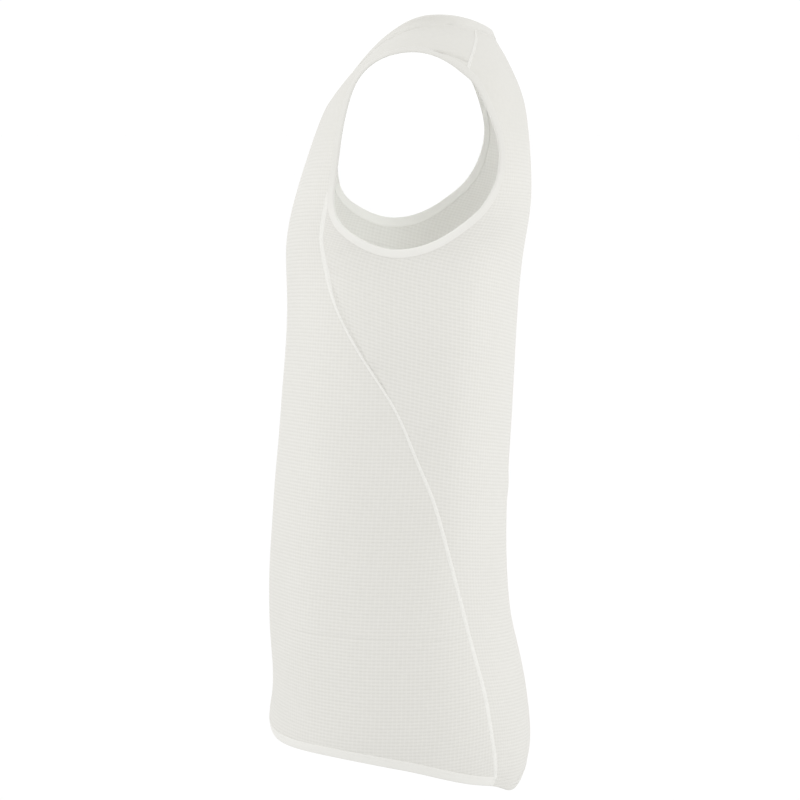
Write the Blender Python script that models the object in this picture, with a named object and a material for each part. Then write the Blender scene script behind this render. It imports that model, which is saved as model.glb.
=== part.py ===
"""Sleeveless base layer top in its worn, hollow form.

The garment hangs as it is worn: +Z is up, the front faces -Y and the wearer's left is +X. The
origin lies on the middle plane at the height of the neck's highest point, where the shoulders
hold the top. Every piece is a wall of cloth on one form. A point of the form has a turn, which
goes from the middle of the front (0) round the wearer's left side to the middle of the back (pi),
and a level, which goes from the hem (0) through the rows of SECTIONS to the neck's edge. The
right half is the left half mirrored.
"""

import math

import bmesh
import bpy
import numpy as np

# Sizes in metres.
PANEL_WALL = 0.0012
BAND_WALL = 0.0018
BAND_STANDS_PROUD = 0.0003
SEAM_GAP = 0.0003
NECK_BAND = 0.0100
ARMHOLE_BAND = 0.0075
HEM_BAND = 0.0095
WELD = 0.00001

# Sections round the body, from the hem up. Each has its height and its reach at the middle of the
# front, at the side and at the middle of the back, the slant that lifts its front quarter and
# drops its back quarter, how much lower the tail's corners hang, half its width, and how square
# it is (2 is an ellipse).
SECTION_COLUMNS = ("front_z", "side_z", "back_z", "slant", "tail_drop", "front_y", "side_y",
                   "back_y", "half_width", "squareness")
SECTIONS = {
    "hem":         (-.6553, -.6490, -.6890, -.023, .0065, -.1215, .0000, .1208, .1630, 2.30),
    "hem turn":    (-.6430, -.6380, -.6690, -.016, .0040, -.1228, .0000, .1230, .1645, 2.35),
    "seat":        (-.6220, -.6180, -.6360, -.008, .0010, -.1200, .0000, .1205, .1655, 2.40),
    "low hip":     (-.5850, -.5840, -.5900, .0000, .0000, -.1198, .0000, .1125, .1645, 2.40),
    "belly":       (-.5300, -.5300, -.5330, .0000, .0000, -.1218, .0000, .1012, .1610, 2.40),
    "waist":       (-.4400, -.4400, -.4400, .0000, .0000, -.1178, .0000, .0985, .1570, 2.40),
    "ribs":        (-.3500, -.3500, -.3500, .0000, .0000, -.1093, .0000, .1028, .1570, 2.40),
    "low chest":   (-.2650, -.2650, -.2650, .0000, .0000, -.1028, .0000, .1065, .1580, 2.40),
    "underarm":    (-.2060, -.2050, -.2050, .0000, .0000, -.1030, .0030, .1118, .1545, 2.50),
    "armhole low": (-.1600, -.1580, -.1600, .0000, .0000, -.0938, .0080, .1162, .1690, 2.90),
    "armhole mid": (-.1250, -.0950, -.1150, .0000, .0000, -.0826, .0100, .1143, .1710, 3.10),
    "yoke":        (-.0980, -.0480, -.0780, .0000, .0000, -.0730, .0110, .1095, .1640, 3.00),
    "strap edge":  (-.0850, -.0320, -.0540, .0000, .0000, -.0674, .0100, .1010, .1540, 2.90),
    "strap":       (-.0780, -.0184, -.0362, .0000, .0000, -.0632, .0170, .0927, .1250, 2.60),
    "neck seam":   (-.0709, -.0110, -.0242, .0020, .0000, -.0560, .0232, .0861, .0995, 2.15),
    "neck":        (-.0626, -.0020, -.0145, .0030, .0000, -.0497, .0262, .0819, .0965, 2.00),
}
TAIL_CORNER_REACH = 0.87
TAIL_CORNER_SPREAD = 0.10

# The largest fold on each side: a soft ridge from behind the armhole down to the side seam. Its
# crest is seen from the wearer's left at these points.
FOLD_HEIGHT = 0.0030
FOLD_HALF_WIDTH = 0.0200
FOLD_CREST = {
    "top":    (0.0655, -0.1850),
    "upper":  (0.0610, -0.2200),
    "middle": (0.0530, -0.2940),
    "lower":  (0.0370, -0.3450),
    "bottom": (0.0180, -0.3900),
}
FOLD_TAPER = 0.3
NECK_LEVEL = len(SECTIONS) - 1

# The armhole's edge seen from the wearer's left, a row about every 20 mm, from the shoulder seam
# over the top, down the front, along the bottom and up the back. The columns are y and z.
ARMHOLE = {
    "shoulder seam": (0.0510, -0.0510),
    "top back":      (0.0347, -0.0393),
    "top":           (0.0150, -0.0325),
    "top front":     (-0.0040, -0.0334),
    "front 1":       (-0.0205, -0.0393),
    "front 2":       (-0.0345, -0.0515),
    "front 3":       (-0.0430, -0.0690),
    "front 4":       (-0.0480, -0.0882),
    "front 5":       (-0.0513, -0.1075),
    "front 6":       (-0.0538, -0.1275),
    "side seam":     (-0.0566, -0.1490),
    "low front 1":   (-0.0545, -0.1680),
    "low front 2":   (-0.0430, -0.1812),
    "low front 3":   (-0.0250, -0.1910),
    "bottom":        (-0.0058, -0.1952),
    "low back 1":    (0.0145, -0.1927),
    "low back 2":    (0.0335, -0.1848),
    "low back 3":    (0.0500, -0.1738),
    "back 1":        (0.0651, -0.1606),
    "back 2":        (0.0765, -0.1420),
    "back 3":        (0.0811, -0.1212),
    "back 4":        (0.0783, -0.1005),
    "back 5":        (0.0704, -0.0800),
    "back 6":        (0.0610, -0.0610),
}
ARMHOLE_ROW = {name: row for row, name in enumerate(ARMHOLE)}
STATIONS_PER_ROW = 2

# The side seam seen from the wearer's left, below the armhole's band and down to the hem. The
# columns are y and z.
SIDE_SEAM = {
    "leaves the band": (-0.0643, -0.1633),
    "furthest front":  (-0.0678, -0.1869),
    "chest 1":         (-0.0654, -0.2084),
    "chest 2":         (-0.0590, -0.2366),
    "ribs 1":          (-0.0471, -0.2641),
    "ribs 2":          (-0.0311, -0.2912),
    "ribs 3":          (-0.0130, -0.3190),
    "waist 1":         (0.0010, -0.3460),
    "waist 2":         (0.0140, -0.3790),
    "waist 3":         (0.0270, -0.4120),
    "hip 1":           (0.0390, -0.4560),
    "hip 2":           (0.0541, -0.5154),
    "hip 3":           (0.0686, -0.5713),
    "tail 1":          (0.0780, -0.6180),
    "tail 2":          (0.0825, -0.6480),
    "hem":             (0.0822, -0.6728),
}

# The shoulder seam meets the neck's edge at this y.
SHOULDER_SEAM_AT_NECK_Y = 0.0620

# Divisions of the pieces.
FRONT_COLUMNS = 12
BACK_SIDE_COLUMNS = 3
BACK_COLUMNS = 11
BODY_ROWS = 16
NECK_FRONT_ROWS = 13
NECK_BACK_ROWS = 8
BAND_COLUMNS = 2

# The horn of the back panel, between the side seam and the armhole, is cut blunt this many rows
# of ARMHOLE short of its point.
HORN_TIP = 0.15


def between(start, end, share):
    return start + (end - start) * share


def second_differences(table):
    """Bends of a natural cubic spline whose knots are the rows of a table, one step apart."""
    count = len(table)
    matrix = np.zeros((count, count))
    bends = np.zeros_like(table)
    matrix[0, 0] = 1.0
    matrix[-1, -1] = 1.0
    for row in range(1, count - 1):
        matrix[row, row - 1:row + 2] = (1.0, 4.0, 1.0)
        bends[row] = 6.0 * (table[row + 1] - 2.0 * table[row] + table[row - 1])
    return np.linalg.solve(matrix, bends)


class Spline:
    """A smooth curve through the rows of a table. Place 0 is its first row, place 1 the next."""

    def __init__(self, rows):
        self.rows = np.array(rows, float)
        self.bends = second_differences(self.rows)

    def at(self, place):
        place = np.clip(np.asarray(place, float), 0.0, len(self.rows) - 1.0)
        row = np.minimum(place.astype(int), len(self.rows) - 2)
        after = (place - row)[..., None]
        before = 1.0 - after
        straight = self.rows[row] * before + self.rows[row + 1] * after
        bend_before = (before ** 3 - before) * self.bends[row] / 6.0
        bend_after = (after ** 3 - after) * self.bends[row + 1] / 6.0
        return straight + bend_before + bend_after


SECTION_SPLINE = Spline(list(SECTIONS.values()))


def fold_height(y, z):
    """How far the fold lifts the side, at points seen at (y, z) from the left."""
    crest = np.array(list(FOLD_CREST.values()))
    seen = np.stack([y, z], -1)
    nearest = np.full(seen.shape[:-1], np.inf)
    place = np.zeros(seen.shape[:-1])
    for stretch, (start, end) in enumerate(zip(crest[:-1], crest[1:])):
        along = (seen - start) @ (end - start) / np.dot(end - start, end - start)
        along = np.clip(along, 0.0, 1.0)
        apart = np.linalg.norm(seen - between(start, end, along[..., None]), axis=-1)
        place = np.where(apart < nearest, (stretch + along) / (len(crest) - 1), place)
        nearest = np.minimum(apart, nearest)
    ends = np.clip(np.minimum(place, 1.0 - place) / FOLD_TAPER, 0.0, 1.0)
    return FOLD_HEIGHT * ends ** 2 * (3.0 - 2.0 * ends) * np.exp(-(nearest / FOLD_HALF_WIDTH) ** 2)


def form(turn, level):
    """Points of the form's left half."""
    turn, level = np.broadcast_arrays(np.asarray(turn, float), np.asarray(level, float))
    section = dict(zip(SECTION_COLUMNS, np.moveaxis(SECTION_SPLINE.at(level), -1, 0)))
    forward = np.abs(np.cos(turn))
    outward = np.abs(np.sin(turn))
    power = section["squareness"]
    size = (forward ** power + outward ** power) ** (-1.0 / power)
    reach = forward * size
    in_front = np.cos(turn) > 0.0
    end_y = np.where(in_front, section["front_y"], section["back_y"])
    end_z = np.where(in_front, section["front_z"], section["back_z"])
    tilt = np.where(in_front, -reach, reach) * (1.0 - reach ** 2)
    corner = np.exp(-((reach - TAIL_CORNER_REACH) / TAIL_CORNER_SPREAD) ** 2)
    drop = np.where(in_front, 0.0, section["tail_drop"] * corner)
    y = section["side_y"] + (end_y - section["side_y"]) * reach
    z = section["side_z"] + (end_z - section["side_z"]) * reach ** 2
    z = z + section["slant"] * tilt - drop
    width = outward * size
    x = section["half_width"] * width + fold_height(y, z) * width ** 2
    return np.stack([x, y, z], -1)


def form_slopes(turn, level):
    """How the form's points move with the turn and with the level."""
    step = 1e-4
    low = np.clip(level - step, 0.0, NECK_LEVEL)
    high = np.clip(level + step, 0.0, NECK_LEVEL)
    along_turn = (form(turn + step, level) - form(turn - step, level)) / (2.0 * step)
    along_level = (form(turn, high) - form(turn, low)) / (high - low)[..., None]
    return along_turn, along_level


def form_normals(turn, level):
    """Directions that point straight out of the form."""
    at_middle = np.sin(turn) < 1e-6
    safe_turn = np.clip(turn, 2e-4, math.pi - 2e-4)
    along_turn, along_level = form_slopes(safe_turn, level)
    normals = np.cross(along_turn, along_level)
    normals[..., 0] = np.where(at_middle, 0.0, normals[..., 0])
    return normals / np.linalg.norm(normals, axis=-1, keepdims=True)


def place_by_side_view(y, z):
    """The turns and levels of the form's points that are seen at (y, z) from the left."""
    turns, levels = np.meshgrid(np.linspace(0.3, 2.8, 60), np.linspace(0.0, NECK_LEVEL, 120))
    seen = form(turns, levels)[..., 1:]
    wanted = np.stack([y, z], -1)
    apart = np.linalg.norm(seen[None] - wanted[:, None, None], axis=-1)
    nearest = apart.reshape(len(wanted), -1).argmin(1)
    turn = turns.ravel()[nearest]
    level = levels.ravel()[nearest]
    for _ in range(12):
        miss = wanted - form(turn, level)[..., 1:]
        along_turn, along_level = form_slopes(turn, level)
        turn, level = solve_steps(turn, level, along_turn[..., 1:], along_level[..., 1:], miss)
    return turn, level


def place_by_point(turn, level, points):
    """The turns and levels of the form's points nearest to given points, from a first guess."""
    for _ in range(8):
        miss = points - form(turn, level)
        along_turn, along_level = form_slopes(turn, level)
        turn, level = solve_steps(turn, level, along_turn, along_level, miss)
    return turn, level


def solve_steps(turn, level, along_turn, along_level, miss):
    """The turn and level moved so that the points move by what they miss."""
    slopes = np.stack([along_turn, along_level], -1)
    transposed = np.swapaxes(slopes, -1, -2)
    steps = np.linalg.solve(transposed @ slopes, transposed @ miss[..., None])[..., 0]
    turn = np.clip(turn + np.clip(steps[..., 0], -0.2, 0.2), 0.0, math.pi)
    level = np.clip(level + np.clip(steps[..., 1], -0.5, 0.5), 0.0, NECK_LEVEL)
    return turn, level


def shift_line(turn, level, distance, closed=False):
    """A line on the form moved sideways over the form, to the right of its own direction."""
    points = form(turn, level)
    if closed:
        ahead = np.roll(points, -1, axis=0) - np.roll(points, 1, axis=0)
    else:
        ahead = np.gradient(points, axis=0)
    sideways = np.cross(ahead, form_normals(turn, level))
    sideways /= np.linalg.norm(sideways, axis=-1, keepdims=True)
    return place_by_point(turn, level, points + sideways * distance)


def level_in_from(edge_level, turn, distance):
    """The level that lies a distance over the form from the edge at a level, at given turns."""
    turn = np.asarray(turn, float)
    edge = form(turn, edge_level)
    inward = 1.0 if edge_level == 0.0 else -1.0
    level = np.full_like(turn, edge_level + 0.3 * inward)
    for _ in range(20):
        gone = np.linalg.norm(form(turn, level) - edge, axis=-1)
        level = edge_level + (level - edge_level) * distance / gone
    return level


class Outline:
    """The seam lines and edges of the left half, each as turns and levels on the form."""

    def __init__(self):
        self.armhole = self.armhole_edge()
        self.seam_line = shift_line(*self.armhole, ARMHOLE_BAND, closed=True)
        self.panel_edge = shift_line(*self.armhole, ARMHOLE_BAND + SEAM_GAP / 2, closed=True)
        self.read_side_seam()
        self.read_shoulder_seam()

    def armhole_edge(self):
        rows = list(ARMHOLE.values())
        wrap = 4
        spline = Spline(rows[-wrap:] + rows + rows[:wrap])
        self.stations = np.arange(0, len(rows), 1.0 / STATIONS_PER_ROW)
        tip = ARMHOLE_ROW["side seam"] + HORN_TIP
        self.stations = np.sort(np.append(self.stations, tip))
        seen = spline.at(self.stations + wrap)
        return place_by_side_view(seen[:, 0], seen[:, 1])

    def station(self, place):
        return int(np.argmin(np.abs(self.stations - place)))

    def armhole_stretch(self, line, first, last):
        """The stations of an armhole line from one row of ARMHOLE to another, forwards."""
        chosen = np.arange(self.station(first), self.station(last) + 1)
        return line[0][chosen], line[1][chosen]

    def read_side_seam(self):
        """The side seam's turn at each level, and the levels of its stations from the hem up."""
        start = self.station(ARMHOLE_ROW["side seam"])
        seen = np.array(list(SIDE_SEAM.values()))
        turn, level = place_by_side_view(seen[:, 0], seen[:, 1])
        turn = np.concatenate([self.seam_line[0][start:start + 1], turn])
        level = np.concatenate([self.seam_line[1][start:start + 1], level])
        rows = Spline(np.stack([turn, level], -1)).at(np.linspace(0, len(turn) - 1, 400))
        self.seam_rows = rows[::-1]
        hem_turn = self.seam_turn(0.0)
        self.hem_level = float(level_in_from(0.0, hem_turn, HEM_BAND + SEAM_GAP / 2))
        bottom = self.station(ARMHOLE_ROW["bottom"])
        self.under_armhole = self.panel_edge[1][bottom]
        self.junction = self.seam_line[1][start]
        tip_level = self.panel_edge[1][self.station(ARMHOLE_ROW["side seam"] + HORN_TIP)]
        horn_rows = self.station(ARMHOLE_ROW["bottom"]) - start - 1
        body = np.linspace(self.hem_level, self.under_armhole, BODY_ROWS + 1)
        horn = np.linspace(self.under_armhole, tip_level, horn_rows + 1)[1:]
        self.seam_levels = np.concatenate([body, horn, [self.junction]])

    def seam_turn(self, level):
        return np.interp(level, self.seam_rows[:, 1], self.seam_rows[:, 0])

    def side_seam(self, levels, distance):
        """The side seam at given levels from the hem up, moved towards the back."""
        return shift_line(self.seam_turn(levels), np.asarray(levels, float), distance)

    def read_shoulder_seam(self):
        turns = np.linspace(0.0, math.pi, 400)
        neck_y = form(turns, NECK_LEVEL)[:, 1]
        self.shoulder_turn = float(np.interp(SHOULDER_SEAM_AT_NECK_Y, neck_y, turns))

    def neck_line(self, turn, distance):
        return level_in_from(NECK_LEVEL, turn, distance)

    def hem_line(self, turn, distance):
        return level_in_from(0.0, turn, distance)


def body_block(near_turn, far_turn, shares, seam_levels, top_level):
    """Rows of a panel that start on the hem's seam line and end level, at top_level.

    The rows run from near_turn to far_turn, a turn for each row, with a column at each share.
    """
    turns = between(near_turn[:, None], far_turn[:, None], shares[None, :])
    hem_levels = level_in_from(0.0, turns[0], HEM_BAND + SEAM_GAP / 2)
    climb = (seam_levels - seam_levels[0]) / (top_level - seam_levels[0])
    levels = between(hem_levels[None, :], top_level, climb[:, None])
    return turns, levels


def spread(near, far, shares):
    """Rows of a panel that run straight from one line to another, over turns and levels."""
    turns = between(near[0][:, None], far[0][:, None], shares[None, :])
    levels = between(near[1][:, None], far[1][:, None], shares[None, :])
    return turns, levels


def stack(lower, upper):
    """Two blocks of rows that share a row, as one."""
    return np.vstack([lower[0], upper[0][1:]]), np.vstack([lower[1], upper[1][1:]])


def neck_turns(outline):
    """Turns of the neck's stations: the front ones, then the back ones, sharing the shoulder."""
    front = np.linspace(0.0, outline.shoulder_turn, NECK_FRONT_ROWS + 1)
    back = np.linspace(math.pi, outline.shoulder_turn, NECK_BACK_ROWS + 1)
    return front, back


def middle_then_neck(outline, middle_turn, low_level, middle_rows, turns):
    """A panel's inner edge: up the middle of the body, then along the neck's seam line."""
    neck_levels = outline.neck_line(turns, NECK_BAND + SEAM_GAP / 2)
    middle_levels = np.linspace(low_level, neck_levels[0], middle_rows + 1)
    line_turns = np.concatenate([np.full(middle_rows, middle_turn), turns])
    line_levels = np.concatenate([middle_levels[:-1], neck_levels])
    return line_turns, line_levels


def front_panel_patches(outline):
    shares = np.linspace(0.0, 1.0, FRONT_COLUMNS + 1)
    seam_turns, seam_levels = outline.side_seam(outline.seam_levels, -SEAM_GAP / 2)
    body = body_block(np.zeros_like(seam_turns), seam_turns, shares, seam_levels, seam_levels[-1])

    far = outline.armhole_stretch(outline.panel_edge, 0, ARMHOLE_ROW["side seam"])
    far = [far[0][::-1].copy(), far[1][::-1].copy()]
    far[0][0], far[1][0] = seam_turns[-1], seam_levels[-1]
    neck, _ = neck_turns(outline)
    near = middle_then_neck(outline, 0.0, seam_levels[-1], len(far[0]) - len(neck), neck)
    return [stack(body, spread(near, open_shoulder(near, far, outline, -1.0), shares))]


def open_shoulder(near, far, outline, side):
    """Half the seam's gap at the shoulder, taken from the ends of a panel's two long edges."""
    for line in (near, far):
        along, _ = form_slopes(line[0][-1:], line[1][-1:])
        line[0][-1] += side * SEAM_GAP / 2 / np.linalg.norm(along)
    return far


def back_panel_patches(outline):
    seam = outline.side_seam(outline.seam_levels[:-1], SEAM_GAP / 2)
    body_turns = seam[0][:BODY_ROWS + 1]
    body_levels = seam[1][:BODY_ROWS + 1].copy()
    bottom = outline.station(ARMHOLE_ROW["bottom"])
    bottom_turn = outline.panel_edge[0][bottom]
    body_levels[-1] = outline.under_armhole
    division = (bottom_turn - body_turns[-1]) / (math.pi - body_turns[-1])
    middle = np.full_like(body_turns, math.pi)

    side_shares = np.linspace(0.0, division, BACK_SIDE_COLUMNS + 1)
    side = body_block(body_turns, middle, side_shares, body_levels, outline.under_armhole)
    horn_edge = outline.armhole_stretch(outline.panel_edge, ARMHOLE_ROW["side seam"] + HORN_TIP,
                                        ARMHOLE_ROW["bottom"])
    horn_edge = (horn_edge[0][::-1], horn_edge[1][::-1])
    horn_seam = (seam[0][BODY_ROWS:].copy(), seam[1][BODY_ROWS:].copy())
    horn_seam[1][0] = outline.under_armhole
    horn = spread(horn_seam, horn_edge, np.linspace(0.0, 1.0, BACK_SIDE_COLUMNS + 1))

    back_shares = np.linspace(division, 1.0, BACK_COLUMNS + 1)
    back = body_block(body_turns, middle, back_shares, body_levels, outline.under_armhole)
    rows = outline.stations > ARMHOLE_ROW["bottom"] - 1e-6
    far = [np.append(outline.panel_edge[0][rows], outline.panel_edge[0][0]),
           np.append(outline.panel_edge[1][rows], outline.panel_edge[1][0])]
    _, neck = neck_turns(outline)
    middle_rows = len(far[0]) - len(neck)
    near = middle_then_neck(outline, math.pi, outline.under_armhole, middle_rows, neck)
    far = open_shoulder(near, far, outline, 1.0)
    upper = spread(far, near, np.linspace(0.0, 1.0, BACK_COLUMNS + 1))
    return [stack(side, horn), stack(back, upper)]


def neck_binding_patches(outline):
    front, back = neck_turns(outline)
    turns = np.concatenate([front, back[-2::-1]])
    levels = []
    for share in np.linspace(0.0, 1.0, BAND_COLUMNS + 1):
        if share == 0.0:
            levels.append(np.full_like(turns, NECK_LEVEL))
        else:
            levels.append(outline.neck_line(turns, share * (NECK_BAND - SEAM_GAP / 2)))
    levels = np.array(levels)
    return [(np.broadcast_to(turns, levels.shape), levels)]


def armhole_binding_patches(outline):
    rows = []
    for share in np.linspace(0.0, 1.0, BAND_COLUMNS + 1):
        width = share * (ARMHOLE_BAND - SEAM_GAP / 2)
        rows.append(np.array(shift_line(*outline.armhole, width, closed=True)))
    rows = np.array(rows)
    rows = np.concatenate([rows, rows[:, :, :1]], axis=2)
    return [(rows[:, 0], rows[:, 1])]


def hem_patches(outline, end_turn, columns, side):
    """A hem from the middle (end_turn) to the side seam; side is -1 in front and 1 at the back."""
    widths = np.linspace(0.0, HEM_BAND - SEAM_GAP / 2, BAND_COLUMNS + 1)
    seam_turn = outline.seam_turn(0.0)
    seam_levels = np.array([0.0] + [float(outline.hem_line(seam_turn, w)) for w in widths[1:]])
    along, _ = form_slopes(outline.seam_turn(seam_levels), seam_levels)
    half_gap = SEAM_GAP / 2 / np.linalg.norm(along, axis=-1)
    near = outline.seam_turn(seam_levels) + side * half_gap
    turns = between(near[:, None], end_turn, columns[None, :])
    levels = [np.zeros_like(columns)]
    for row in range(1, BAND_COLUMNS + 1):
        levels.append(outline.hem_line(turns[row], widths[row]))
    return [(turns, np.array(levels))]


def wall_object(name, patches, sides, outside, wall, colour, roughness):
    """A closed wall of cloth over patches of the form, on the left (1), the right (-1) or both."""
    shell = bmesh.new()
    inward = shell.verts.layers.float_vector.new("inward")
    for turns, levels in patches:
        normals = form_normals(turns, levels)
        points = form(turns, levels) + normals * outside
        rows, columns = turns.shape
        for side in sides:
            grid = bmesh.ops.create_grid(shell, x_segments=columns - 1, y_segments=rows - 1)
            mirror = np.array([side, 1.0, 1.0])
            all_points = (points * mirror).reshape(-1, 3)
            all_normals = (normals * mirror).reshape(-1, 3)
            for vert, point, normal in zip(grid["verts"], all_points, all_normals):
                vert.co = point
                vert[inward] = -normal
    bmesh.ops.remove_doubles(shell, verts=shell.verts[:], dist=WELD)
    bmesh.ops.recalc_face_normals(shell, faces=shell.faces[:])
    inner = bmesh.ops.extrude_face_region(shell, geom=shell.faces[:], use_keep_orig=True)
    for part in inner["geom"]:
        if isinstance(part, bmesh.types.BMVert):
            part.co += part[inward] * wall
    bmesh.ops.recalc_face_normals(shell, faces=shell.faces[:])
    mesh = bpy.data.meshes.new(name)
    shell.to_mesh(mesh)
    shell.free()
    mesh.shade_smooth()
    mesh.set_sharp_from_angle(angle=math.radians(40.0))
    mesh.materials.append(cloth_material(name, colour, roughness))
    piece = bpy.data.objects.new(name, mesh)
    bpy.context.collection.objects.link(piece)
    return piece


def cloth_material(name, colour, roughness):
    material = bpy.data.materials.new(name)
    material.use_nodes = True
    principled = material.node_tree.nodes["Principled BSDF"]
    principled.inputs["Base Color"].default_value = (*colour, 1.0)
    principled.inputs["Roughness"].default_value = roughness
    principled.inputs["Metallic"].default_value = 0.0
    return material


RIB_KNIT = (0.79, 0.78, 0.74)
BAND_KNIT = (0.81, 0.80, 0.77)
LEFT = 1
RIGHT = -1


def build():
    for old in list(bpy.data.objects):
        bpy.data.objects.remove(old, do_unlink=True)
    outline = Outline()
    both = (LEFT, RIGHT)
    wall_object("front_panel", front_panel_patches(outline), both, 0.0, PANEL_WALL, RIB_KNIT, 0.9)
    wall_object("back_panel", back_panel_patches(outline), both, 0.0, PANEL_WALL, RIB_KNIT, 0.9)

    def band(name, patches, sides):
        wall_object(name, patches, sides, BAND_STANDS_PROUD, BAND_WALL, BAND_KNIT, 0.85)

    band("neck_binding", neck_binding_patches(outline), both)
    band("armhole_binding_left", armhole_binding_patches(outline), (LEFT,))
    band("armhole_binding_right", armhole_binding_patches(outline), (RIGHT,))
    front_columns = np.linspace(0.0, 1.0, FRONT_COLUMNS + 1)
    band("front_hem", hem_patches(outline, 0.0, front_columns, -1), both)
    seam_turn = outline.seam_turn(outline.hem_level)
    back_patches = back_panel_patches(outline)
    bottom_turns = np.concatenate([back_patches[0][0][0], back_patches[1][0][0][1:]])
    back_columns = (bottom_turns - bottom_turns[0]) / (math.pi - bottom_turns[0])
    band("back_hem", hem_patches(outline, math.pi, back_columns, 1), both)


build()
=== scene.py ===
"""Looks of the sleeveless base layer top: rib knit panels, folded bindings, hems and flat seams.

The top hangs as it is worn: +Z is up, the front faces -Y and the wearer's left is +X. Each piece
lies on the worn form, the same one that the solids follow. A point of the form has a turn, from
the middle of the front (0) round the wearer's left side to the middle of the back (pi), and a
level, from the hem (0) to the neck's edge. The right half is the left half mirrored, apart from
its loose creases and its armhole's edge. A line on the form is an array of turns and of levels.
"""

import math

import bmesh
import bpy
import numpy as np
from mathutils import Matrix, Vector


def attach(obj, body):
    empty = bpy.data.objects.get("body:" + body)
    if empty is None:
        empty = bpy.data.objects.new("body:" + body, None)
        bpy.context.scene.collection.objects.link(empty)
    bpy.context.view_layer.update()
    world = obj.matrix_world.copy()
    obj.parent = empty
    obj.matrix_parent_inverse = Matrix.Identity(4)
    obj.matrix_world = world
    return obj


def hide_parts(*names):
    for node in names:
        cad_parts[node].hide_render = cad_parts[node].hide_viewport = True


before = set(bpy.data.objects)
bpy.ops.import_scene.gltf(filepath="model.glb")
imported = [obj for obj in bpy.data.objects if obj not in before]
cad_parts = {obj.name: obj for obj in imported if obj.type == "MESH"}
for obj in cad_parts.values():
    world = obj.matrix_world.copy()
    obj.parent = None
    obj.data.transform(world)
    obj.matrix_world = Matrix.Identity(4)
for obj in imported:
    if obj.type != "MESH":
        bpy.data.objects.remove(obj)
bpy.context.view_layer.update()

MM = 0.001
LEFT = 1.0
RIGHT = -1.0
BOTH_SIDES = (LEFT, RIGHT)
SIDE_WORDS = (("left", LEFT), ("right", RIGHT))
WELD = 0.00001
SHARP_ANGLE = math.radians(50.0)

# Sections round the body, from the hem up. Each has its height and its reach at the middle of the
# front, at the side and at the middle of the back, the slant that lifts its front quarter and
# drops its back quarter, how much lower the tail's corners hang, half its width, and how square
# it is (2 is an ellipse).
SECTIONS = {
    "hem": (-.6553, -.649, -.689, -.023, .0088, -.1215, 0.0, .1172, .163, 2.3),
    "hem turn": (-.643, -.638, -.669, -.016, .005, -.1228, 0.0, .1222, .1645, 2.35),
    "seat": (-.622, -.618, -.636, -.008, .001, -.12, 0.0, .1205, .1655, 2.4),
    "low hip": (-.585, -.584, -.59, 0.0, 0.0, -.1198, 0.0, .1125, .1645, 2.4),
    "belly": (-.53, -.53, -.533, 0.0, 0.0, -.1218, 0.0, .1012, .161, 2.4),
    "waist": (-.44, -.44, -.44, 0.0, 0.0, -.1178, 0.0, .0985, .157, 2.4),
    "ribs": (-.35, -.35, -.35, 0.0, 0.0, -.1093, 0.0, .1028, .157, 2.4),
    "low chest": (-.265, -.265, -.265, 0.0, 0.0, -.1028, 0.0, .1065, .158, 2.4),
    "underarm": (-.206, -.205, -.205, 0.0, 0.0, -.103, .003, .1118, .1545, 2.5),
    "armhole low": (-.16, -.158, -.16, 0.0, 0.0, -.0938, .008, .1162, .169, 2.9),
    "armhole mid": (-.125, -.095, -.115, 0.0, 0.0, -.0826, .01, .1143, .171, 3.1),
    "yoke": (-.098, -.048, -.078, 0.0, 0.0, -.073, .011, .1095, .164, 3.0),
    "strap edge": (-.085, -.032, -.054, 0.0, 0.0, -.0674, .01, .101, .154, 2.9),
    "strap": (-.078, -.0184, -.0362, 0.0, 0.0, -.0632, .017, .0927, .125, 2.6),
    "neck seam": (-.0709, -.011, -.0242, .002, 0.0, -.056, .0232, .0861, .0995, 2.15),
    "neck": (-.0626, -.002, -.0145, .003, 0.0, -.0497, .0262, .0819, .0965, 2.0),
}
TAIL_CORNER_REACH = 0.87
TAIL_CORNER_SPREAD = 0.11
NECK_LEVEL = len(SECTIONS) - 1

# Steps and rounds of the searches on the form. The longest step is in turn and in level.
SLOPE_STEP = 1e-4
TINY = 1e-6
LONGEST_STEP = np.array((0.2, 0.5))
PLACING_TURNS = (0.3, 2.8, 60)
PLACING_LEVELS = 120
PLACING_ROUNDS = 12
SHIFTING_ROUNDS = 6
FIRST_GUESS = 0.3
LEVEL_ROUNDS = 20
HALVINGS = 24
GIRTH_TURNS = 241
GIRTH_LEVELS = 61

# The largest fold on each side, from behind the armhole down to the side seam, seen from the left.
FOLD_HEIGHT = 0.0030
FOLD_HALF_WIDTH = 0.0200
FOLD_CREST = ((.0655, -.185), (.061, -.22), (.053, -.294), (.037, -.345), (.018, -.39))
FOLD_TAPER = 0.3

# The armhole's edge seen from the wearer's left, from the shoulder seam over the top, down the
# front, along the bottom and up the back, and the rows at which other lines meet it.
ARMHOLE = (
    (.051, -.051), (.0347, -.0393), (.015, -.0325), (-.004, -.0334), (-.0205, -.0393),
    (-.0345, -.0515), (-.043, -.069), (-.048, -.0882), (-.0513, -.1075), (-.0538, -.1275),
    (-.0566, -.149), (-.0545, -.168), (-.043, -.1812), (-.025, -.191), (-.0058, -.1952),
    (.0145, -.1927), (.0335, -.1848), (.05, -.1738), (.0651, -.1606), (.0765, -.142),
    (.0811, -.1212), (.0783, -.1005), (.0704, -.08), (.061, -.061)
)
AT_SHOULDER_SEAM = 0
AT_FRONT_STRAP = 5
AT_SIDE_SEAM = 10
AT_BACK_STRAP = 20
ARMHOLE_WRAP = 4
STATIONS_PER_ROW = 8
SEAM_STATIONS = 500
EDGE_STATIONS = 400
MIDDLE_STATIONS = 600

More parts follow.
